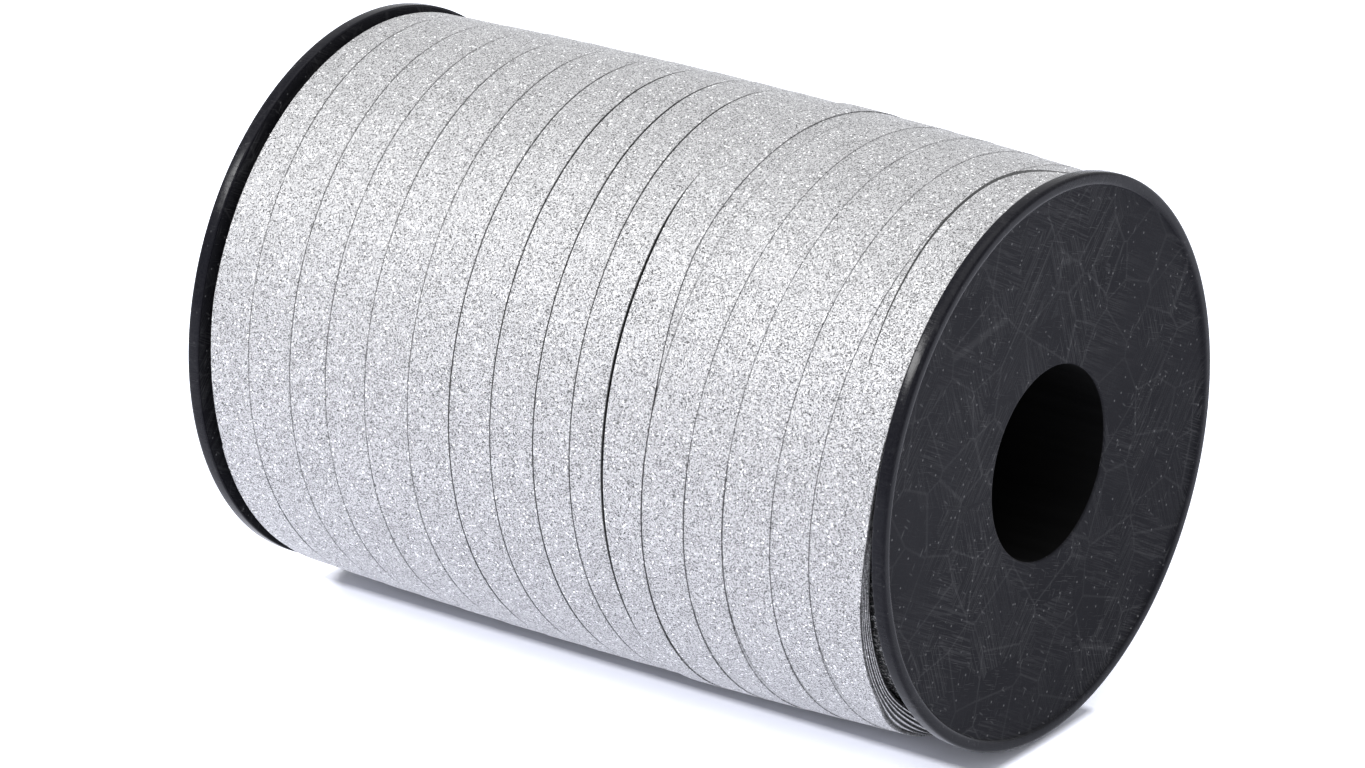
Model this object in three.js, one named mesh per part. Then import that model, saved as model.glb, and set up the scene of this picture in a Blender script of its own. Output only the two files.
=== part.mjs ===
// A flanged plastic spool of silver gift ribbon, lying on its side.
// Millimetres, +Z up. The spool's axis is X and the origin is the middle of that axis.
// The side facing -Y is called the front here, and turns are counted from it,
// down the front, under the bottom and up the back.

import * as THREE from 'three';

// ---------------------------------------------------------------- driving dimensions

const overallLength = 124;
const flangeDiameter = 85;
const boreDiameter = 29;

const ribbonWidth = 9.5;
const ribbonThickness = 0.2;
const lapPitch = 7.27;

const facetsPerTurn = 48;

// ---------------------------------------------------------------- spool moulding

const flangeRadius = flangeDiameter / 2;
const boreRadius = boreDiameter / 2;
const outerFace = overallLength / 2;
const flangeThickness = 2.1;
const innerFace = outerFace - flangeThickness;
const faceRecess = 0.5;
const beadWidth = 1.8;
const beadSlope = 0.2;
const rimRounding = 0.6;
const rimRoundingSteps = 3;
const innerRimChamfer = 0.25;
const boreChamfer = 0.4;

const hubWall = 2;
const hubRadius = boreRadius + hubWall;
const hubFillet = 0.25;
const spigotLength = 8;
const spigotClearance = 0.2;
const spigotRadius = boreRadius + (hubWall - spigotClearance) / 2;
const socketRadius = spigotRadius + spigotClearance;
const socketDepth = spigotLength + 0.3;
const shoulderGap = 0.3;

// ---------------------------------------------------------------- ribbon winding

const packLeftEnd = -58.1;
const packRightEnd = innerFace - 0.3;
const packBore = hubRadius + 0.6;
const crownRadius = 42.8;
const crownCentre = -6;
const crownHalfLength = 60;
const crownDrop = 1.45;

// Each lap lies with one edge on the lap before it, like roof tiles, so a lap is tilted:
// over one pitch it climbs by its own thickness and a thin clearance.
const layerClearance = 0.06;
const lapTilt = (ribbonThickness + 0.05) / lapPitch;
const layerHeight = layerClearance + lapTilt * ribbonWidth + ribbonThickness;

const stepAngle = (2 * Math.PI) / facetsPerTurn;

// The outer layer runs from the left flange to the right. It ends under the return layer.
const outerLayerFirstStep = -53;
const outerLayerLastStep = 478;
const returnLayerLastRightEdge = 22.6;
const returnLayerFirstStep = -297;
const returnLayerLastStep = 22;
const packStepPosition = 24.2;

// The free end lies up the back of the roll, held by a short piece of clear tape.
const tailLastStep = 30;
const tailGapInSteps = 0.3 / (crownRadius * stepAngle);
const tapeThickness = 0.12;
const endTapeFirstStep = 28;
const endTapeLastStep = 31;
const endTapeMargin = 0.5;

// A second piece of tape holds the ribbon's first turn to the hub.
const hubTapeRadius = hubRadius + 0.2;
const hubTapeSteps = 9;
const hubTapeLength = 22;
const hubTapeCentre = 20;

// ---------------------------------------------------------------- materials

function plastic(color, roughness, options = {}) {
  return new THREE.MeshStandardMaterial({ color, roughness, metalness: 0, ...options });
}

const blackPlastic = () => plastic(0x2a2a2d, 0.55);
const silverRibbon = () => plastic(0xd2d2d8, 0.35, { metalness: 0.4 });
const clearTape = () => plastic(0xe8ecee, 0.15, { transparent: true, opacity: 0.4 });

// ---------------------------------------------------------------- shape helpers

const point = (along, radius) => new THREE.Vector2(radius, along);

// Turns a closed outline of (distance along the axis, radius) about X.
// The first facet is turned by half a step, so that a flat facet faces straight down.
function turnedAboutX(outline) {
  const closed = [...outline, outline[0].clone()];
  const geometry = new THREE.LatheGeometry(closed, facetsPerTurn, stepAngle / 2, 2 * Math.PI);
  return geometry.rotateZ(-Math.PI / 2);
}

function quarterRound(along, radius, size, steps) {
  return Array.from({ length: steps + 1 }, (_, i) => {
    const angle = ((i / steps) * Math.PI) / 2;
    return point(along - size + size * Math.sin(angle), radius - size + size * Math.cos(angle));
  });
}

// A thin strip wound about X, made of one box bent along its length.
// edges(turn) gives its left and right edge, and underside(x, turn) the radius below it.
function woundStrip({ firstStep, lastStep, edges, underside, thickness }) {
  const segments = Math.round(lastStep - firstStep);
  const geometry = new THREE.BoxGeometry(1, 1, 1, 1, 1, segments);
  const position = geometry.attributes.position;
  for (let i = 0; i < position.count; i += 1) {
    const segment = Math.round((position.getZ(i) + 0.5) * segments);
    const step = segment === 0 ? firstStep : Math.floor(firstStep) + segment;
    const turn = step / facetsPerTurn;
    const [left, right] = edges(turn);
    const x = left + (position.getX(i) + 0.5) * (right - left);
    const radius = underside(x, turn) + (position.getY(i) + 0.5) * thickness;
    const angle = (step + 0.5) * stepAngle;
    position.setXYZ(i, x, -radius * Math.cos(angle), -radius * Math.sin(angle));
  }
  geometry.computeVertexNormals();
  return geometry;
}

function part(name, geometry, material) {
  const mesh = new THREE.Mesh(geometry, material);
  mesh.name = name;
  return mesh;
}

// ---------------------------------------------------------------- the two spool halves

// Flange and hub of one half, from the joint in the middle out to the open end.
function spoolHalf(name, jointOutline) {
  const facePlane = outerFace - faceRecess;
  const beadInner = flangeRadius - beadWidth;
  const outline = [
    ...jointOutline.start,
    point(innerFace - hubFillet, hubRadius),
    point(innerFace, hubRadius + hubFillet),
    point(innerFace, flangeRadius - innerRimChamfer),
    point(innerFace + innerRimChamfer, flangeRadius),
    ...quarterRound(outerFace, flangeRadius, rimRounding, rimRoundingSteps),
    point(outerFace, beadInner),
    point(facePlane, beadInner - beadSlope),
    point(facePlane, boreRadius + boreChamfer),
    point(facePlane - boreChamfer, boreRadius),
    ...jointOutline.end,
  ];
  return part(name, turnedAboutX(outline), blackPlastic());
}

const spigotJoint = {
  start: [
    point(-spigotLength, boreRadius),
    point(-spigotLength, spigotRadius),
    point(shoulderGap / 2, spigotRadius),
    point(shoulderGap / 2, hubRadius),
  ],
  end: [],
};

const socketJoint = {
  start: [
    point(shoulderGap / 2, socketRadius),
    point(shoulderGap / 2, hubRadius),
  ],
  end: [
    point(socketDepth, boreRadius),
    point(socketDepth, socketRadius),
  ],
};

function spoolHalves() {
  const right = spoolHalf('right_spool_half', spigotJoint);
  const left = spoolHalf('left_spool_half', socketJoint);
  left.rotation.z = Math.PI;
  return [right, left];
}

// ---------------------------------------------------------------- the wound ribbon

// Radius of the wound layers under the two outermost ones. The roll is a little
// fuller towards the middle than the flanges are.
function innerLayersRadius(x) {
  const fromCentre = (x - crownCentre) / crownHalfLength;
  return crownRadius - crownDrop * fromCentre ** 2;
}

function ribbonPack() {
  const crownSpans = 6;
  const spread = (from, to, count) => (
    Array.from({ length: count + 1 }, (_, i) => from + ((to - from) * i) / count)
  );
  const outline = [
    point(packLeftEnd, packBore),
    ...spread(packLeftEnd, packStepPosition, crownSpans)
      .map((x) => point(x, innerLayersRadius(x))),
    ...spread(packStepPosition, packRightEnd, crownSpans / 2)
      .map((x) => point(x, innerLayersRadius(x) + layerHeight)),
    point(packRightEnd, packBore),
  ];
  return part('ribbon_pack', turnedAboutX(outline), silverRibbon());
}

// Laps that move right, each one's left edge on the lap before it.
function outerLayerEdges(turn) {
  const left = packLeftEnd + lapPitch * turn;
  return [Math.max(left, packLeftEnd), left + ribbonWidth];
}

function outerLayerUnderside(x, turn) {
  const right = packLeftEnd + lapPitch * turn + ribbonWidth;
  return innerLayersRadius(x) + layerClearance + lapTilt * (right - x);
}

// Laps that move back left, each one's right edge on the lap before it.
function returnLayerEdges(turn) {
  const right = returnLayerLastRightEdge - lapPitch * turn;
  return [right - ribbonWidth, Math.min(right, packRightEnd)];
}

function returnLayerUnderside(x, turn) {
  const left = returnLayerLastRightEdge - lapPitch * turn - ribbonWidth;
  return innerLayersRadius(x) + layerHeight + layerClearance + lapTilt * (x - left);
}

function outerLayer() {
  const geometry = woundStrip({
    firstStep: outerLayerFirstStep,
    lastStep: outerLayerLastStep,
    edges: outerLayerEdges,
    underside: outerLayerUnderside,
    thickness: ribbonThickness,
  });
  return part('ribbon_outer_layer', geometry, silverRibbon());
}

function returnLayer() {
  const geometry = woundStrip({
    firstStep: returnLayerFirstStep,
    lastStep: returnLayerLastStep,
    edges: returnLayerEdges,
    underside: returnLayerUnderside,
    thickness: ribbonThickness,
  });
  return part('ribbon_return_layer', geometry, silverRibbon());
}

// ---------------------------------------------------------------- free end and tapes

function ribbonTail() {
  const geometry = woundStrip({
    firstStep: returnLayerLastStep + tailGapInSteps,
    lastStep: tailLastStep,
    edges: returnLayerEdges,
    underside: returnLayerUnderside,
    thickness: ribbonThickness,
  });
  return part('ribbon_tail', geometry, silverRibbon());
}

function endTape() {
  const geometry = woundStrip({
    firstStep: endTapeFirstStep,
    lastStep: endTapeLastStep,
    edges: (turn) => {
      const [left, right] = returnLayerEdges(turn);
      return [left + endTapeMargin, right - endTapeMargin];
    },
    underside: (x, turn) => (
      returnLayerUnderside(x, turn) + ribbonThickness + layerClearance
    ),
    thickness: tapeThickness,
  });
  return part('end_tape', geometry, clearTape());
}

function hubTape() {
  const geometry = woundStrip({
    firstStep: 0,
    lastStep: hubTapeSteps,
    edges: () => [hubTapeCentre - hubTapeLength / 2, hubTapeCentre + hubTapeLength / 2],
    underside: () => hubTapeRadius,
    thickness: tapeThickness,
  });
  return part('hub_tape', geometry, clearTape());
}

// ---------------------------------------------------------------- assembly

const ribbonSpool = new THREE.Group();
ribbonSpool.add(...spoolHalves());
ribbonSpool.add(ribbonPack(), outerLayer(), returnLayer());
ribbonSpool.add(ribbonTail(), endTape(), hubTape());

export default ribbonSpool;
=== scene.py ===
"""A black plastic spool of silver glitter ribbon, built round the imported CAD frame.

Lengths in the shape code are millimetres and become metres when a mesh is made.
The spool's axis is X. A place on the roll is (x, turn): turn 0 faces -Y, the front,
0.25 is underneath, 0.5 the back and -0.25 the top, as the ribbon is wound.
"""

import math

import bpy
import numpy as np
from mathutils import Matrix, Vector, noise


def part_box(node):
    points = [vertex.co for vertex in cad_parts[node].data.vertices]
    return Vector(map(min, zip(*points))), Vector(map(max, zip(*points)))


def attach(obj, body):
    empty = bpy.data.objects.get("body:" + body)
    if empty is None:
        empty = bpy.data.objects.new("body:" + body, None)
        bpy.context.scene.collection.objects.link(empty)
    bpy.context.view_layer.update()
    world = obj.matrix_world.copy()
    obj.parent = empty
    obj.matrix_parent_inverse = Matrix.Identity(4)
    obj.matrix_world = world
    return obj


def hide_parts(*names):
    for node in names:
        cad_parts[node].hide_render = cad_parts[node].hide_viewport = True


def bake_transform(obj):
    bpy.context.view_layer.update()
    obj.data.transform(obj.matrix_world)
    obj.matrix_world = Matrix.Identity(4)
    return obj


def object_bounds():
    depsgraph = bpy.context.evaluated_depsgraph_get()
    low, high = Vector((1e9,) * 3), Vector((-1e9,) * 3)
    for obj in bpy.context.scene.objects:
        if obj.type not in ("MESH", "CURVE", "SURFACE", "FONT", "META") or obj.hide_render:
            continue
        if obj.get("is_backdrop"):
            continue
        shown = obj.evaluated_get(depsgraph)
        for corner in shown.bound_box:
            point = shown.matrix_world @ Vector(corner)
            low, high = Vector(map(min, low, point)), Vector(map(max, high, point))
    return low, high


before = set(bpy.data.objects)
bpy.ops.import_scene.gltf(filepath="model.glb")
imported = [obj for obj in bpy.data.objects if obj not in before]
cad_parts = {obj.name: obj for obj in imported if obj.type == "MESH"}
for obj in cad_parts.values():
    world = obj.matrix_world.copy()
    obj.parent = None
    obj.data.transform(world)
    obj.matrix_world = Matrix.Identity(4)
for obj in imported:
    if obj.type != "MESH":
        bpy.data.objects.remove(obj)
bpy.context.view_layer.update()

MM = 0.001
TURN = 2 * math.pi

# ------------------------------------------------------------------ sizes, from the frame

CAD_FACETS = 48


def box_mm(node):
    low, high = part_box(node)
    return np.array(low) / MM, np.array(high) / MM


right_low, right_high = box_mm("right_spool_half")
pack_low, pack_high = box_mm("ribbon_pack")
OUTER_FACE = right_high[0]
FLANGE_RADIUS = right_high[2] / math.cos(math.pi / CAD_FACETS)
SPIGOT_END = right_low[0]
PACK_LEFT = pack_low[0]
PACK_RIGHT = pack_high[0]

# The CAD's other driving sizes, repeated from part.mjs.
FLANGE_THICKNESS = 2.1
INNER_FACE = OUTER_FACE - FLANGE_THICKNESS
FACE_RECESS = 0.5
BEAD_WIDTH = 1.8
BORE_RADIUS = 14.5
HUB_RADIUS = 16.5
SPIGOT_RADIUS = 15.4
SOCKET_RADIUS = 15.6
RIBBON_WIDTH = 9.5
SOCKET_DEPTH = 8.3
SHOULDER_FACE = 0.15

# Where the free end and its tape start and stop. The CAD's facets are half a step on.
TAIL_END_TURN = 30.5 / CAD_FACETS
TAPE_START_TURN = 28.5 / CAD_FACETS
TAPE_END_TURN = 31.5 / CAD_FACETS


# ------------------------------------------------------------------ mesh helpers


def smooth(t):
    """0 below 0, 1 above 1, and a soft step between."""
    t = min(1.0, max(0.0, t))
    return t * t * (3 - 2 * t)


def wander(position, seed, scale):
    """Smooth noise about -1 to 1 along a length, the same on each run."""
    return noise.noise(Vector((position * scale, seed * 7.31, 3.7)))


def on_roll(x, radius, turn):
    angle = turn * TURN
    return (x * MM, -radius * math.cos(angle) * MM, -radius * math.sin(angle) * MM)


def lofted(name, rings, closed_path=False, attributes=None):
    """A closed mesh through rings of points, each ring a closed outline of the same count."""
    ring_count = len(rings)
    size = len(rings[0])
    vertices = [p for ring in rings for p in ring]
    faces = []
    spans = ring_count if closed_path else ring_count - 1
    for i in range(spans):
        a, b = i * size, ((i + 1) % ring_count) * size
        for j in range(size):
            k = (j + 1) % size
            faces.append((a + j, a + k, b + k, b + j))
    if not closed_path:
        faces.append(tuple(reversed(range(size))))
        faces.append(tuple((ring_count - 1) * size + j for j in range(size)))
    mesh = bpy.data.meshes.new(name)
    mesh.from_pydata(vertices, [], faces)
    for attribute_name, values in (attributes or {}).items():
        attribute = mesh.attributes.new(attribute_name, "FLOAT", "POINT")
        attribute.data.foreach_set("value", np.array(values, np.float32))
    mesh.validate()
    mesh.shade_smooth()
    mesh.set_sharp_from_angle(angle=math.radians(40))
    piece = bpy.data.objects.new(name, mesh)
    bpy.context.scene.collection.objects.link(piece)
    return piece


def turned(name, outline, steps=256):
    """Turns a closed outline of (x, radius) about the X axis."""
    rings = [[on_roll(x, r, i / steps) for x, r in outline] for i in range(steps)]
    return lofted(name, rings, closed_path=True)


def rounded(outline, steps=4):
    """An outline with some corners rounded: each point is (x, radius, rounding)."""
    result = []
    count = len(outline)
    for i, (x, r, size) in enumerate(outline):
        if size == 0:
            result.append((x, r))
            continue
        corner = np.array([x, r])
        before = np.array(outline[i - 1][:2]) - corner
        after = np.array(outline[(i + 1) % count][:2]) - corner
        start = corner + before / np.linalg.norm(before) * size
        end = corner + after / np.linalg.norm(after) * size
        for k in range(steps + 1):
            t = k / steps
            p = (1 - t) ** 2 * start + 2 * t * (1 - t) * corner + t ** 2 * end
            result.append((float(p[0]), float(p[1])))
    return result


# ------------------------------------------------------------------ material helpers


class Nodes:
    """A small helper that adds and links shader nodes."""

    def __init__(self, name):
        self.material = bpy.data.materials.new(name)
        self.material.use_nodes = True
        self.tree = self.material.node_tree
        self.shader = self.tree.nodes["Principled BSDF"]

    def add(self, kind, inputs=None, **settings):
        node = self.tree.nodes.new("ShaderNode" + kind)
        for key, value in settings.items():
            setattr(node, key, value)
        for key, value in (inputs or {}).items():
            self.put(node.inputs[key], value)
        return node

    def put(self, socket, value):
        if isinstance(value, bpy.types.NodeSocket):
            self.tree.links.new(value, socket)
        else:
            socket.default_value = value

    def math(self, operation, a, b=0.0, clamp=False):
        node = self.add("Math", operation=operation, use_clamp=clamp)
        self.put(node.inputs[0], a)
        self.put(node.inputs[1], b)
        return node.outputs[0]

    def mix(self, factor, a, b):
        node = self.add("Mix", data_type="RGBA")
        self.put(node.inputs["Factor"], factor)
        self.put(node.inputs[6], a)
        self.put(node.inputs[7], b)
        return node.outputs[2]

    def ramp(self, value, low, high, low_out=0.0, high_out=1.0):
        node = self.add("MapRange", {"Value": value})
        node.inputs["From Min"].default_value = low
        node.inputs["From Max"].default_value = high
        node.inputs["To Min"].default_value = low_out
        node.inputs["To Max"].default_value = high_out
        return node.outputs[0]

    def place(self, scale=(1, 1, 1), turn=(0, 0, 0)):
        """Object coordinates in millimetres, turned and then scaled."""
        where = self.add("TexCoord").outputs["Object"]
        turned_by = self.add("Mapping", {"Vector": where, "Rotation": turn})
        per_mm = tuple(s / MM for s in scale)
        return self.add("Mapping", {"Vector": turned_by.outputs[0], "Scale": per_mm}).outputs[0]


def grey(value):
    return (value, value, value, 1)


# ------------------------------------------------------------------ materials


def glitter_ribbon():
    """Silver glitter film: fine flakes that differ in brightness, gloss and tilt, with painted glints on
    a few large flakes and painted shade at the lap seams.
    """
    n = Nodes("silver_glitter")
    place = n.place()
    flake = n.add("TexVoronoi", {"Vector": place, "Scale": 7.6})
    chance = n.add("SeparateColor", {"Color": flake.outputs["Color"]})
    large = n.add("TexVoronoi", {"Vector": place, "Scale": 4.6})
    large_chance = n.add("SeparateColor", {"Color": large.outputs["Color"]})
    cloud = n.add("TexNoise", {"Vector": place, "Scale": 0.35, "Detail": 2.0}).outputs["Fac"]

    level = n.ramp(n.math("POWER", chance.outputs[0], 1.8), 0.0, 1.0, 0.46, 0.0)
    level = n.math("MULTIPLY", level, n.ramp(cloud, 0.3, 0.7, 0.94, 1.06))
    body = n.add("CombineColor")
    for channel, tint in enumerate((0.99, 0.985, 1.0)):
        n.put(body.inputs[channel], n.math("MULTIPLY", level, tint))
    # Painted glint: a few large flakes are coloured near white, standing in for flakes that catch the
    # light.
    painted_glint = n.ramp(large_chance.outputs[0], 0.975, 0.985)
    colour = n.mix(painted_glint, body.outputs[0], grey(0.95))

    # Painted shade: the laps' darkness attribute turns the glitter near black in the grooves and at the
    # lap edges, where shade falls between the laps.
    gap_and_painted_shade = n.add("Attribute", attribute_name="gap_and_painted_shade").outputs["Fac"]
    ragged = n.add("TexNoise", {"Vector": place, "Scale": 2.2, "Detail": 2.0}).outputs["Fac"]
    gap_and_painted_shade = n.math("SUBTRACT", n.math("MULTIPLY", gap_and_painted_shade, 1.3), n.ramp(ragged, 0.35, 0.65, 0.0, 0.35), True)
    n.put(n.shader.inputs["Base Color"], n.mix(gap_and_painted_shade, colour, grey(0.012)))
    n.shader.inputs["Metallic"].default_value = 0.3
    n.put(n.shader.inputs["Roughness"], n.ramp(chance.outputs[1], 0, 1, 0.3, 0.6))

    random_tilt = n.add("VectorMath", operation="SUBTRACT")
    n.put(random_tilt.inputs[0], flake.outputs["Color"])
    random_tilt.inputs[1].default_value = (0.5, 0.5, 0.5)
    small_tilt = n.add("VectorMath", operation="SCALE")
    n.put(small_tilt.inputs[0], random_tilt.outputs[0])
    small_tilt.inputs["Scale"].default_value = 0.8
    tilted = n.add("VectorMath", operation="ADD")
    n.put(tilted.inputs[0], n.add("NewGeometry").outputs["Normal"])
    n.put(tilted.inputs[1], small_tilt.outputs[0])
    unit = n.add("VectorMath", operation="NORMALIZE")
    n.put(unit.inputs[0], tilted.outputs[0])
    n.put(n.shader.inputs["Normal"], unit.outputs[0])
    return n.material


def shaded_ribbon_edges():
    """The cut edges of many layers, seen end on: coloured nearly black, painted shade for the deep gap
    beside the flanges, with stray bright flakes.
    """
    n = Nodes("ribbon_cut_edges_painted_shade")
    place = n.place()
    flake = n.add("TexVoronoi", {"Vector": place, "Scale": 4.5})
    chance = n.add("SeparateColor", {"Color": flake.outputs["Color"]})
    bright = n.math("POWER", chance.outputs[0], 5.0)
    level = n.math("ADD", n.math("MULTIPLY", bright, 0.5), 0.006)
    colour = n.add("CombineColor", {"Red": level, "Green": level, "Blue": level})
    n.put(n.shader.inputs["Base Color"], colour.outputs[0])
    n.shader.inputs["Roughness"].default_value = 0.6
    return n.material


def scratches(n, angle, length, width, limit):
    """Sparse fine lines in one direction across the flange face."""
    place = n.place((0.3, 1 / length, 1 / width), (angle, 0, 0))
    lines = n.add("TexNoise", {"Vector": place, "Scale": 1.0, "Detail": 1.0}).outputs["Fac"]
    return n.ramp(lines, limit, limit + 0.04)


def hatching(n):
    """Patches of fine tool marks from the mould, each patch with its own direction."""
    patch = n.add("TexVoronoi", {"Vector": n.place((0.12, 0.12, 0.12)), "Scale": 1.0})
    patch.distance = "CHEBYCHEV"
    chance = n.add("SeparateColor", {"Color": patch.outputs["Color"]})
    total = None
    for angle, low, high in ((0.5, 0.0, 0.28), (1.25, 0.36, 0.62), (2.3, 0.72, 0.95)):
        inside = n.math("MULTIPLY", n.math("GREATER_THAN", chance.outputs[0], low),
                        n.math("LESS_THAN", chance.outputs[0], high))
        lines = n.math("MULTIPLY", inside, scratches(n, angle, 7.0, 0.16, 0.52))
        total = lines if total is None else n.math("ADD", total, lines)
    return total


def black_plastic(name, darkest, wear, specular, smoothest, dullest):
    """Moulded black plastic with satin sheen, tool marks, scratches and a little dust."""
    n = Nodes(name)
    marks = scratches(n, 0.35, 3.0, 0.11, 0.67)
    marks = n.math("MAXIMUM", marks, scratches(n, 1.95, 3.4, 0.11, 0.69))
    patches = n.add("TexNoise", {"Vector": n.place((0.07, 0.07, 0.07)), "Scale": 1.0}).outputs["Fac"]
    marks = n.math("MULTIPLY", marks, n.ramp(patches, 0.4, 0.6, 0.15, 1.0))
    tool_marks = n.math("MULTIPLY", hatching(n), n.ramp(patches, 0.35, 0.6, 0.2, 1.0))
    grain = n.add("TexNoise", {"Vector": n.place((4, 4, 4)), "Scale": 1.0, "Detail": 3.0}).outputs["Fac"]
    specks = n.add("TexVoronoi", {"Vector": n.place((0.6, 0.6, 0.6)), "Scale": 1.0})
    dust = n.ramp(specks.outputs["Distance"], 0.12, 0.07)
    for angle, length, width in ((0.7, 6.0, 1.3), (2.2, 7.0, 1.4)):
        place = n.place((0.8, 1 / length, 1 / width), (angle, 0, 0))
        dash = n.add("TexVoronoi", {"Vector": place, "Scale": 1.0}).outputs["Distance"]
        dust = n.math("MAXIMUM", dust, n.ramp(dash, 0.13, 0.05, 0.0, 0.4))
    cells = n.add("TexVoronoi", {"Vector": n.place((0.1, 0.1, 0.1)), "Scale": 1.0})
    cells.feature = "DISTANCE_TO_EDGE"
    outlines = n.math("MULTIPLY", n.ramp(cells.outputs["Distance"], 0.022, 0.008), patches)

    value = n.ramp(grain, 0.3, 0.7, darkest, darkest + 0.005)
    for layer, strength in ((marks, 0.03), (tool_marks, 0.014), (outlines, 0.02), (dust, 0.08)):
        value = n.math("ADD", value, n.math("MULTIPLY", layer, strength * wear))
    colour = n.add("CombineColor", {
        "Red": value, "Green": value, "Blue": n.math("ADD", value, 0.0022),
    })
    n.put(n.shader.inputs["Base Color"], colour.outputs[0])
    n.shader.inputs["Specular IOR Level"].default_value = specular
    sheen = n.ramp(patches, 0.3, 0.7, smoothest, dullest)
    n.put(n.shader.inputs["Roughness"], n.math("ADD", sheen, n.math("MULTIPLY", marks, 0.1)))
    relief = n.math("SUBTRACT", n.math("MULTIPLY", grain, 0.3), n.math("ADD", marks, tool_marks))
    bump = n.add("Bump", {"Height": relief, "Distance": 0.00008, "Strength": 0.5 * wear})
    n.put(n.shader.inputs["Normal"], bump.outputs[0])
    return n.material


def shaded_bore_plastic():
    """The rough inside of the hub, coloured darker than the flange plastic as painted shade, since
    little light gets in.
    """
    n = Nodes("hub_bore_painted_shade")
    streaks = n.add("TexNoise", {"Vector": n.place((0.02, 0.4, 0.4)), "Scale": 1.0, "Detail": 2.0})
    value = n.ramp(streaks.outputs["Fac"], 0.3, 0.7, 0.0008, 0.003)
    colour = n.add("CombineColor", {"Red": value, "Green": value, "Blue": value})
    n.put(n.shader.inputs["Base Color"], colour.outputs[0])
    n.shader.inputs["Roughness"].default_value = 0.85
    n.shader.inputs["Specular IOR Level"].default_value = 0.05
    return n.material


def clear_tape():
    """Clear adhesive film with a slight haze."""
    n = Nodes("clear_tape_film")
    haze = n.add("TexNoise", {"Vector": n.place((0.3, 0.3, 0.3)), "Scale": 1.0}).outputs["Fac"]
    n.put(n.shader.inputs["Roughness"], n.ramp(haze, 0.3, 0.7, 0.08, 0.2))
    n.shader.inputs["Base Color"].default_value = grey(0.93)
    n.shader.inputs["Alpha"].default_value = 0.25
    return n.material


GLITTER = glitter_ribbon()
SHADED_EDGES = shaded_ribbon_edges()
BLACK = black_plastic("moulded_black_plastic", 0.008, 1.0, 0.02, 0.44, 0.54)
RIM = black_plastic("polished_black_rim", 0.002, 0.25, 0.08, 0.16, 0.24)
SHADED_BORE = shaded_bore_plastic()
TAPE = clear_tape()


def finish_piece(piece, material, slot, body, *nodes):
    """Gives a piece its material and body, and the CAD nodes that it replaces; slot is not used."""
    piece.data.materials.append(material)
    if nodes:
        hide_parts(*nodes)
    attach(piece, body)


# ------------------------------------------------------------------ the two spool halves


def spool_half(name, node, side, joint_start, joint_end):
    """Flange and half hub, from the joint in the middle out to the open end."""
    disc = OUTER_FACE - FACE_RECESS
    bead = FLANGE_RADIUS - BEAD_WIDTH
    outline = rounded([
        *joint_start,
        (INNER_FACE, HUB_RADIUS, 0.4),
        (INNER_FACE, FLANGE_RADIUS, 0.3),
        (OUTER_FACE, FLANGE_RADIUS, 0.6),
        (OUTER_FACE, bead + 0.1, 0.5),
        (disc, bead - 0.25, 0.3),
        (disc, BORE_RADIUS, 0.4),
        *joint_end,
    ])
    if side < 0:
        outline = [(-x, r) for x, r in reversed(outline)]
    piece = turned(name, outline)
    finish_piece(piece, BLACK, "black_plastic", "spool", node)
    piece.data.materials.append(SHADED_BORE)
    piece.data.materials.append(RIM)
    for face in piece.data.polygons:
        _, y, z = face.center
        radius = math.hypot(y, z) / MM
        # Painted shade: bore faces get the darker copy of the plastic.
        if radius < BORE_RADIUS + 0.02:
            face.material_index = 1
        elif radius > bead:
            face.material_index = 2


def spool_halves():
    spool_half(
        "right_half_moulding", "right_spool_half", 1,
        [
            (SPIGOT_END, BORE_RADIUS, 0.2),
            (SPIGOT_END, SPIGOT_RADIUS, 0.2),
            (SHOULDER_FACE, SPIGOT_RADIUS, 0),
            (SHOULDER_FACE, HUB_RADIUS, 0.1),
        ],
        [],
    )
    spool_half(
        "left_half_moulding", "left_spool_half", -1,
        [(SHOULDER_FACE, SOCKET_RADIUS, 0.1), (SHOULDER_FACE, HUB_RADIUS, 0.1)],
        [(SOCKET_DEPTH, BORE_RADIUS, 0.1), (SOCKET_DEPTH, SOCKET_RADIUS, 0.05)],
    )


# ------------------------------------------------------------------ the roll's surface

CROWN_RADIUS = 43.3
CROWN_CENTRE = -6.0
CROWN_HALF_LENGTH = 60.0
CROWN_DROP = 1.45
RETURN_LAYER_RISE = 0.35
GROOVE_DEPTH = 0.4
LAP_STEP = 0.08
SAG = 0.5
STEPS_PER_TURN = 360


def roll_radius(x):
    return CROWN_RADIUS - CROWN_DROP * ((x - CROWN_CENTRE) / CROWN_HALF_LENGTH) ** 2


def settle(x, turn):
    """How far the loose outer laps sag and lie unevenly."""
    angle = turn * TURN
    spot = Vector((x * 0.09, math.cos(angle) * 3.2, math.sin(angle) * 3.2))
    return SAG * math.sin(angle) + 0.05 * noise.noise(spot)


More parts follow.
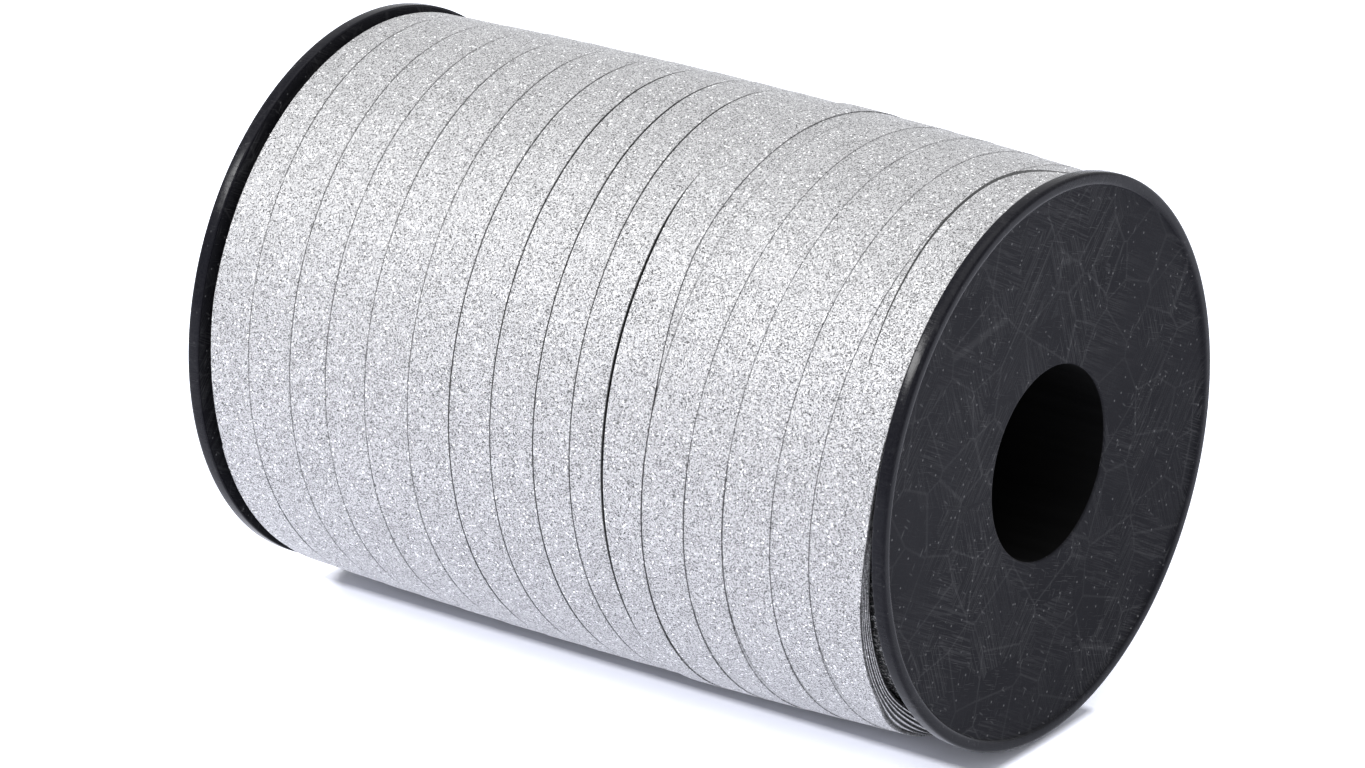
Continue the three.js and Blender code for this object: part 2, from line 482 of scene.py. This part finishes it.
def lap_section(near, far, gap_and_painted_shade, turn, base):
    """One cross-section of a lap, as a closed outline of (x, radius, darkness).

    The lap's free edge is at near. At far it goes under the next lap, and a gap shows
    between the two: its width, how dark its painted shade is, and how far the layer below fills it.
    """
    width, strength, bare = gap_and_painted_shade
    sign = 1 if near < far else -1
    span = abs(far - near)
    width = min(width, span * 0.45)
    lip = min(0.25, span * 0.1)
    inner = width - min(0.12, width * 0.4)
    line = min(0.1, inner * 0.3)
    depth = GROOVE_DEPTH - (GROOVE_DEPTH - LAP_STEP) * bare
    floor_dark = strength * (1 - 0.9 * bare)
    # The third value of each station is painted shade: dark in the groove, on its lips and at the free
    # edge, where shade falls between the laps.
    stations = [
        (0, -GROOVE_DEPTH, strength),
        (0, -0.06, 0.6 * strength),
        (0.05, 0, 0.1 * strength),
        (lip, 0, 0),
        (span * 0.5, 0, 0),
        (span - width - lip, 0, 0),
        (span - width - 0.06, 0, 0.1 * strength),
        (span - width, 0, strength),
        (span - inner, -0.03, strength),
        (span - inner + line, -depth, strength),
        (span - inner + 2 * line, -depth, floor_dark),
        (span - line, -depth, floor_dark),
        (span, -depth, strength),
        (span + 0.6, -depth, strength),
        (span + 0.6, -GROOVE_DEPTH - 0.4, 1),
        (0, -GROOVE_DEPTH - 0.4, 1),
    ]
    section = []
    for distance, dip, dark in stations:
        x = near + sign * distance
        tilt = LAP_STEP * (0.5 - min(1.0, distance / max(span, 0.01)))
        section.append((x, base(x) + tilt + dip + settle(x, turn), dark))
    return section if sign > 0 else list(reversed(section))


def wound(name, first_turn, last_turn, section_at):
    """A strip wound on the roll, from a function that gives its section at each turn."""
    steps = max(2, int(round((last_turn - first_turn) * STEPS_PER_TURN)))
    rings, darkness = [], []
    for i in range(steps + 1):
        turn = first_turn + (last_turn - first_turn) * i / steps
        section = section_at(turn)
        rings.append([on_roll(x, r, turn) for x, r, _ in reversed(section)])
        darkness.extend(dark for _, _, dark in reversed(section))
    # The darkness of each point is kept as an attribute: painted shade for the glitter colour.
    return lofted(name, rings, attributes={"gap_and_painted_shade": darkness})


def between(values, position):
    """A smooth curve through evenly spaced values."""
    last = len(values) - 1
    i = min(last - 1, max(0, math.floor(position)))
    t = position - i
    a, b = values[i], values[i + 1]
    slope_a = (b - values[max(0, i - 1)]) / (2 if i > 0 else 1)
    slope_b = (values[min(last, i + 2)] - a) / (2 if i + 2 <= last else 1)
    h = t * t * (3 - 2 * t)
    return a + (b - a) * h + slope_a * t * (1 - t) ** 2 - slope_b * t * t * (1 - t)


def through(points, degrees):
    """A smooth curve through a few (degrees, value) points, level beyond its ends."""
    if degrees <= points[0][0]:
        return points[0][1]
    for i in range(len(points) - 1):
        (a0, v0), (a1, v1) = points[i], points[i + 1]
        if degrees <= a1:
            before = points[max(0, i - 1)]
            after = points[min(len(points) - 1, i + 2)]
            slope0 = (v1 - before[1]) / (a1 - before[0])
            slope1 = (after[1] - v0) / (after[0] - a0)
            t, run = (degrees - a0) / (a1 - a0), a1 - a0
            h = t * t * (3 - 2 * t)
            return v0 + (v1 - v0) * h + run * (slope0 * t * (1 - t) ** 2 - slope1 * t * t * (1 - t))
    return points[-1][1]


def degrees_from_front(turn):
    """-180 to 180, from the front down."""
    return ((turn + 0.5) % 1.0 - 0.5) * 360


# ------------------------------------------------------------------ outer layer, moving right

# The layer starts beside the left flange and ends hidden under the return layer.
OUTER_FIRST_TURN = -0.95
OUTER_LAST_TURN = 9.74
# How dark the painted shade in the seam between each two laps is, from the left.
OUTER_DARKNESS = [0.5, 0.55, 0.55, 0.42, 0.5, 0.55, 0.75, 0.8, 0.8, 0.65, 0.65, 0.65]
# Where each of these seams crosses the front, in millimetres from the middle.
OUTER_SEAMS = [-57.6, -50.3, -42.4, -35.7, -28.4, -20.5, -12.9, -5.5, 2.1, 8.5, 14.7, 22.5]
# Path of the last lap's left edge, by degrees. It covers what comes after of this layer.
LAST_EDGE = [(-150, 15.3), (-100, 14.9), (-63, 13.1), (-40, 13.6), (13, 14.7), (45, 14.8), (80, 14.4)]


def outer_seam(turn):
    angle = turn * TURN
    bow = 0.43 * (1 - math.cos(angle + 1.08)) + 0.7 * math.sin(angle + 1.08) - 0.84
    seam = between(OUTER_SEAMS, turn) + bow + 0.1 * wander(turn, 1, 9)
    under_last_lap = smooth((turn - 9.5) / 0.2)
    return seam + (through(LAST_EDGE, degrees_from_front(turn)) - seam) * under_last_lap


def outer_gap(turn):
    """Width, darkness of the painted shade, and fill of the gap at a seam."""
    degrees = degrees_from_front(turn)
    width = 0.2 + 0.05 * wander(turn, 2, 7)
    width += 0.12 * smooth((-degrees - 30) / 50) + 0.2 * smooth((degrees - 5) / 40)
    strength = between(OUTER_DARKNESS, turn) * (1 + 0.5 * wander(turn, 5, 5))
    strength += 0.2 * smooth((degrees - 20) / 30)
    return max(0.1, width), min(1.0, max(0.2, strength)), 0.0


def last_edge_gap(degrees):
    open_part = smooth((degrees + 75) / 30) * (1 - smooth((degrees - 30) / 30))
    return 0.24 + 0.4 * open_part, 0.8 + 0.2 * open_part, 0.0


def outer_section(turn):
    left = max(PACK_LEFT, outer_seam(turn))
    right = max(PACK_LEFT + 0.8, outer_seam(turn + 1)) + 3 * smooth((turn - 9.2) / 0.1)
    gap_and_painted_shade = outer_gap(turn + 1)
    if turn > 8.6:
        gap_and_painted_shade = last_edge_gap(degrees_from_front(turn))
    emerging = 0.7 * (1 - smooth((turn + 0.95) / 0.2))
    return lap_section(left, right, gap_and_painted_shade, turn, lambda x: roll_radius(x) - emerging)


def outer_layer():
    piece = wound("outer_layer_laps", OUTER_FIRST_TURN, OUTER_LAST_TURN, outer_section)
    finish_piece(piece, GLITTER, "silver_ribbon", "spool", "ribbon_outer_layer")


# ------------------------------------------------------------------ return layer, moving left

# The first value is where the free end would cross the front, one turn further on.
RETURN_SEAMS = [17.0, 21.1, 28.4, 34.9, 42.9, 49.4, 60.5, 68.0]
# Width that each of these seams opens to at the lower front.
RETURN_OPENINGS = [0.3, 0.3, 0.35, 0.95, 0.4, 1.05, 0.3, 0.3]
# How dark the painted shade in each of these seams is over the top of the roll, and down its front.
RETURN_TOPS = [0.6, 0.7, 0.12, 0.45, 0.4, 0.35, 0.3, 0.3]
RETURN_FRONTS = [0.8, 0.9, 1.0, 0.95, 0.65, 0.6, 0.8, 0.8]
# The layer starts at the right flange and ends where the free end leaves the roll.
RETURN_FIRST_TURN = -5.97
LAST_LAP_TURN = 0.4583
# Distance between the roll and the right flange round the roll, by degrees.
RIGHT_OPENING = [
    (-24, 0.0), (-4, 0.7), (13, 2.3), (31, 4.1),
    (40, 5.0), (58, 8.2), (90, 9.0), (150, 0.0),
]


def return_seam(turn):
    """Right edge of a lap. turn is 0 where the last lap crosses the front."""
    crossing = between(RETURN_SEAMS, 1 - turn)
    return crossing - 0.9 * math.sin(turn * TURN) + 0.1 * wander(turn, 3, 9)


def last_lap_pull(turn):
    """How far the last lap lies short of the one beside it, over the top of the roll."""
    degrees = turn * 360
    return 2.9 * smooth((-degrees - 12) / 45) * smooth((degrees + 175) / 45)


def return_gap(turn):
    """Width, darkness of the painted shade, and fill of the gap at return_seam(turn)."""
    degrees = degrees_from_front(turn)
    place = 1 - turn
    lower = smooth((degrees - 12) / 42) * (1 - smooth((degrees - 85) / 50))
    front = smooth((degrees + 16) / 14) * (1 - smooth((degrees - 100) / 40))
    front_strength = between(RETURN_FRONTS, place)
    width = 0.07 + 0.13 * (front_strength - 0.45) * front
    width += between(RETURN_OPENINGS, place) * lower
    strength = between(RETURN_TOPS, place) * (1 - front) + front_strength * front
    width *= 1 + 0.5 * wander(turn, 4, 7)
    strength *= 0.85 + 0.5 * wander(turn, 6, 6)
    behind = smooth((abs(degrees) - 112) / 25)
    width += 0.1 * behind
    strength += 0.4 * behind
    if turn > -0.5:
        width += last_lap_pull(turn)
    return max(0.05, width), min(1.0, max(0.1, strength)), smooth((width - 0.25) / 0.25)


def return_radius(x):
    return roll_radius(x) + RETURN_LAYER_RISE


def right_opening(turn):
    """How far the roll pulls away from the right flange, mostly at the lower front."""
    return max(0.0, through(RIGHT_OPENING, degrees_from_front(turn)))


def right_boundary(turn):
    return PACK_RIGHT - 0.1 - right_opening(turn)


def last_lap_left(turn):
    """Left edge of the last lap, which returns to its full width at the back."""
    natural = return_seam(turn) - RIBBON_WIDTH
    degrees = turn * 360
    crowded = smooth((degrees + 170) / 40) * (1 - smooth((degrees - 75) / 60))
    return natural + (through(LAST_EDGE, degrees) + 0.03 - natural) * crowded


def return_section(turn):
    right = return_seam(turn)
    if turn > LAST_LAP_TURN - 1:
        right -= last_lap_pull(turn)
        return last_lap_section(last_lap_left(turn), right, turn)
    right = min(right_boundary(turn), right)
    left = return_seam(turn + 1)
    if turn > -1.5:
        left -= last_lap_pull(turn + 1)
    left = min(left, right - 0.3)
    return lap_section(right, left, return_gap(turn + 1), turn, return_radius)


def last_lap_section(left, right, turn):
    """The last lap has two free edges. It keeps the point count of the other laps."""
    width = right - left
    section = []
    # The third values are painted shade at the lap's two free edges.
    for share, dip, dark in (
        (0.0, -0.5, 1), (0.0, -0.3, 1), (0.0, -0.06, 0.5), (0.005, 0.0, 0.15), (0.02, 0.0, 0),
        (0.15, 0.0, 0), (0.3, 0.0, 0), (0.5, 0.0, 0), (0.7, 0.0, 0), (0.85, 0.0, 0),
        (0.98, 0.0, 0), (0.995, 0.0, 0.05), (1.0, -0.05, 0.3), (1.0, -0.22, 0.9), (1.0, -0.4, 1),
        (0.5, -0.5, 1),
    ):
        x = left + width * share
        section.append((x, return_radius(x) + 0.06 * share + dip + settle(x, turn), dark))
    return section


def return_layer():
    piece = wound("return_layer_laps", RETURN_FIRST_TURN, LAST_LAP_TURN, return_section)
    finish_piece(piece, GLITTER, "silver_ribbon", "spool", "ribbon_return_layer")


# The lap that turns round at the right flange: how far round it runs, the path of its left
# edge and the width of the painted shade beside it, by degrees.
TURNING_FIRST_TURN = -0.31
TURNING_LAST_TURN = -0.1
TURNING_EDGE = [
    (-112, 59.4), (-104, 58.9), (-99, 56.0), (-94, 54.4),
    (-85, 53.2), (-67, 52.8), (-50, 53.1), (-36, 53.6),
]
TURNING_GAP = [
    (-112, 0.4), (-104, 0.9), (-94, 1.1), (-85, 0.75),
    (-70, 0.45), (-55, 0.28), (-36, 0.1),
]


def turning_lap():
    """Over the top the ribbon turns round at the flange, standing on its neighbour. A black strip raised
    beside its left edge is painted shade for the gap there.
    """
    def section_at(turn):
        degrees = turn * 360
        left = through(TURNING_EDGE, degrees)
        shade = left - through(TURNING_GAP, degrees)
        right = PACK_RIGHT - 0.1
        middle = (left + right) / 2
        rise = 0.13 + 0.1 * smooth((-degrees - 50) / 25) * smooth((degrees + 98) / 12)
        return [
            (x, return_radius(x) + settle(x, turn) + height, dark)
            for x, height, dark in (
                (shade - 0.05, -0.3, 1.0), (shade - 0.05, 0.08, 0.4), (shade, 0.12, 1.0),
                (left - 0.03, 0.12, 1.0), (left + 0.03, rise, 0.1), (left + 0.2, rise, 0.0),
                (middle, rise - 0.02, 0.0), (right, rise - 0.04, 0.0), (right, -0.5, 1.0),
                (left, -0.5, 1.0),
            )
        ]
    piece = wound("turning_lap", TURNING_FIRST_TURN, TURNING_LAST_TURN, section_at)
    finish_piece(piece, GLITTER, "silver_ribbon", "spool")


# ------------------------------------------------------------------ inner layers


def ribbon_pack():
    """The layers under the two outer ones. Only their edges show, beside the flanges."""
    under = GROOVE_DEPTH + SAG + 0.15
    spans = 24
    crown = []
    for i in range(spans + 1):
        x = PACK_LEFT + (PACK_RIGHT - 5.5 - PACK_LEFT) * i / spans
        crown.append((x, roll_radius(x) - under))
    outline = [
        (PACK_LEFT, HUB_RADIUS + 0.6),
        *crown,
        (PACK_RIGHT - 5.4, 39.9),
        (PACK_RIGHT - 1.6, 39.4),
        (PACK_RIGHT - 0.2, 34.0),
        (PACK_RIGHT, HUB_RADIUS + 0.6),
    ]
    piece = turned("inner_layers", outline, steps=192)
    finish_piece(piece, SHADED_EDGES, "silver_ribbon", "spool", "ribbon_pack")


# How many older layers stand out at the right flange, and how far round they do.
SIDE_LAYERS = 5
SIDE_FIRST_TURN = -0.1
SIDE_LAST_TURN = 0.42


def side_layers():
    """Older layers that stand out in steps where the roll leaves the right flange. Each is coloured
    black as painted shade, but for a narrow band near its edge.
    """
    for k in range(1, SIDE_LAYERS + 1):
        def section_at(turn, k=k):
            opening = right_opening(turn)
            lower = smooth((degrees_from_front(turn) - 36) / 22)
            spread = 0.3 + 0.62 * lower
            share = spread * k / SIDE_LAYERS + 0.05 * wander(turn, 20 + k, 5)
            edge = right_boundary(turn) + opening * share
            radius = return_radius(edge) + settle(edge, turn) - 0.2 - (0.2 + 0.12 * lower) * k
            left = edge - 1.5 - 0.4 * opening
            pitch = spread * opening / SIDE_LAYERS
            bright = max(0.16, (0.25 + 0.3 * lower) * pitch)
            # Painted shade: the strip is black but for the narrow band just short of its edge.
            return [
                (left, radius, 1.0),
                (edge - bright - 0.06, radius, 1.0),
                (edge - bright, radius, 0.05),
                (edge - 0.06, radius - 0.01, 0.05),
                (edge, radius - 0.08, 1.0),
                (edge, radius - 0.4, 1.0),
                (left, radius - 0.4, 1.0),
            ]
        piece = wound(f"side_layer_{k}", SIDE_FIRST_TURN, SIDE_LAST_TURN, section_at)
        finish_piece(piece, GLITTER, "silver_ribbon", "spool")


# ------------------------------------------------------------------ free end and tapes


def tail_section(turn):
    right = return_seam(turn)
    # The third values are painted shade along the free end's edges.
    return [
        (right - inset, return_radius(right) + settle(right, turn) + height, dark)
        for inset, height, dark in (
            (RIBBON_WIDTH, 0.02, 0.35), (RIBBON_WIDTH - 0.2, 0.1, 0.0),
            (RIBBON_WIDTH * 0.5, 0.12, 0.0), (0.2, 0.1, 0.0), (0.0, 0.04, 0.35),
            (0.1, -0.08, 0.3), (RIBBON_WIDTH * 0.5, -0.08, 0.0), (RIBBON_WIDTH - 0.1, -0.1, 0.3),
        )
    ]


def ribbon_tail():
    """The free end, wound on the roll out to its tip."""
    piece = wound("free_end", LAST_LAP_TURN - 0.01, TAIL_END_TURN, tail_section)
    piece.data.materials.append(GLITTER)
    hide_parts("ribbon_tail")
    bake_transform(piece)


def end_tape():
    def section_at(turn):
        right = return_seam(turn) - 0.5
        left = right - RIBBON_WIDTH + 1.0
        r = return_radius(right) + settle(right, turn) + 0.17
        return [
            (left, r, 0), ((left + right) / 2, r + 0.01, 0), (right, r, 0),
            (right, r - 0.05, 0), ((left + right) / 2, r - 0.04, 0), (left, r - 0.05, 0),
        ]
    piece = wound("end_tape_strip", TAPE_START_TURN, TAPE_END_TURN, section_at)
    finish_piece(piece, TAPE, "clear_tape", "ribbon_end", "end_tape")


def hub_tape():
    """The CAD's own piece of tape inside the roll, which only needs its material."""
    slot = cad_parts["hub_tape"].material_slots[0]
    slot.link = "OBJECT"
    slot.material = TAPE


# ------------------------------------------------------------------ stage


def camera():
    """The view: the right end near, a little above the spool."""
    azimuth = math.radians(35.67)
    elevation = math.radians(22.09)
    distance = 1.168
    toward = Vector((
        math.sin(azimuth) * math.cos(elevation),
        -math.cos(azimuth) * math.cos(elevation),
        math.sin(elevation),
    ))
    data = bpy.data.cameras.new("camera")
    data.lens = 210
    data.sensor_width = 36
    data.shift_x = -0.0118
    data.shift_y = -0.0112
    data.clip_start = 0.05
    data.clip_end = 20
    view = bpy.data.objects.new("camera", data)
    view.location = toward * distance
    view.rotation_euler = (-toward).to_track_quat("-Z", "Y").to_euler()
    bpy.context.scene.collection.objects.link(view)
    bpy.context.scene.camera = view


def area_light(name, place, size, power):
    """A soft rectangular light aimed at the middle of the spool."""
    data = bpy.data.lights.new(name, "AREA")
    data.shape = "RECTANGLE"
    data.size, data.size_y = size
    data.energy = power
    light = bpy.data.objects.new(name, data)
    light.location = place
    direction = -Vector(place)
    light.rotation_euler = direction.to_track_quat("-Z", "Y").to_euler()
    bpy.context.scene.collection.objects.link(light)


FLOOR_HALF_SIZE = 4.0
# The half length and half width of the painted contact shadow, where the floor does not glow, in metres.
PAINTED_SHADOW_HALF_LENGTH = 0.06
PAINTED_SHADOW_HALF_WIDTH = 0.013


def floor_with_painted_shadow():
    """Pale paper with painted light and a painted contact shadow: it glows most just past where the
    spool rests, less further off, and not at all where it rests.
    """
    n = Nodes("pale_floor_painted_shadow")
    n.shader.inputs["Base Color"].default_value = (0.9, 0.915, 1.0, 1)
    n.shader.inputs["Roughness"].default_value = 0.9
    axes = n.add("SeparateXYZ", {"Vector": n.add("TexCoord").outputs["Object"]})
    squares = []
    for axis, limit in ((0, PAINTED_SHADOW_HALF_LENGTH), (1, PAINTED_SHADOW_HALF_WIDTH)):
        past = n.math("SUBTRACT", n.math("ABSOLUTE", axes.outputs[axis]), limit)
        squares.append(n.math("POWER", n.math("MAXIMUM", past, 0.0), 2.0))
    away = n.math("SQRT", n.math("ADD", squares[0], squares[1]))
    # Painted light and shadow: no glow under the spool, a strong glow just past it that makes up for its
    # shade, less further off.
    near = n.ramp(away, 0.0002, 0.002, 0.0, 0.62)
    painted_light_falloff = n.ramp(away, 0.006, 0.04, 0.0, 0.26)
    n.shader.inputs["Emission Color"].default_value = (0.87, 0.895, 1.0, 1)
    n.put(n.shader.inputs["Emission Strength"], n.math("SUBTRACT", near, painted_light_falloff))
    return n.material


def stage():
    """Floor, sky and lights. The floor lies just under whatever hangs lowest."""
    floor_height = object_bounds()[0][2]
    mesh = bpy.data.meshes.new("floor")
    half = FLOOR_HALF_SIZE
    corners = [(-half, -half), (half, -half), (half, half), (-half, half)]
    mesh.from_pydata([(x, y, floor_height) for x, y in corners], [], [(0, 1, 2, 3)])
    mesh.materials.append(floor_with_painted_shadow())
    floor = bpy.data.objects.new("floor", mesh)
    bpy.context.scene.collection.objects.link(floor)
    floor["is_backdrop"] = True

    world = bpy.data.worlds.new("studio")
    world.use_nodes = True
    background = world.node_tree.nodes["Background"]
    background.inputs["Color"].default_value = (0.97, 0.98, 1.0, 1)
    background.inputs["Strength"].default_value = 1.07
    bpy.context.scene.world = world
    bpy.context.scene.view_settings.view_transform = "Standard"
    area_light("key", (-0.62, -0.68, 0.82), (0.36, 0.25), 12.0)
    area_light("overhead", (0, -0.1, 1.5), (1.6, 1.6), 14.0)


camera()
spool_halves()
ribbon_pack()
outer_layer()
return_layer()
turning_lap()
side_layers()
ribbon_tail()
end_tape()
hub_tape()
stage()
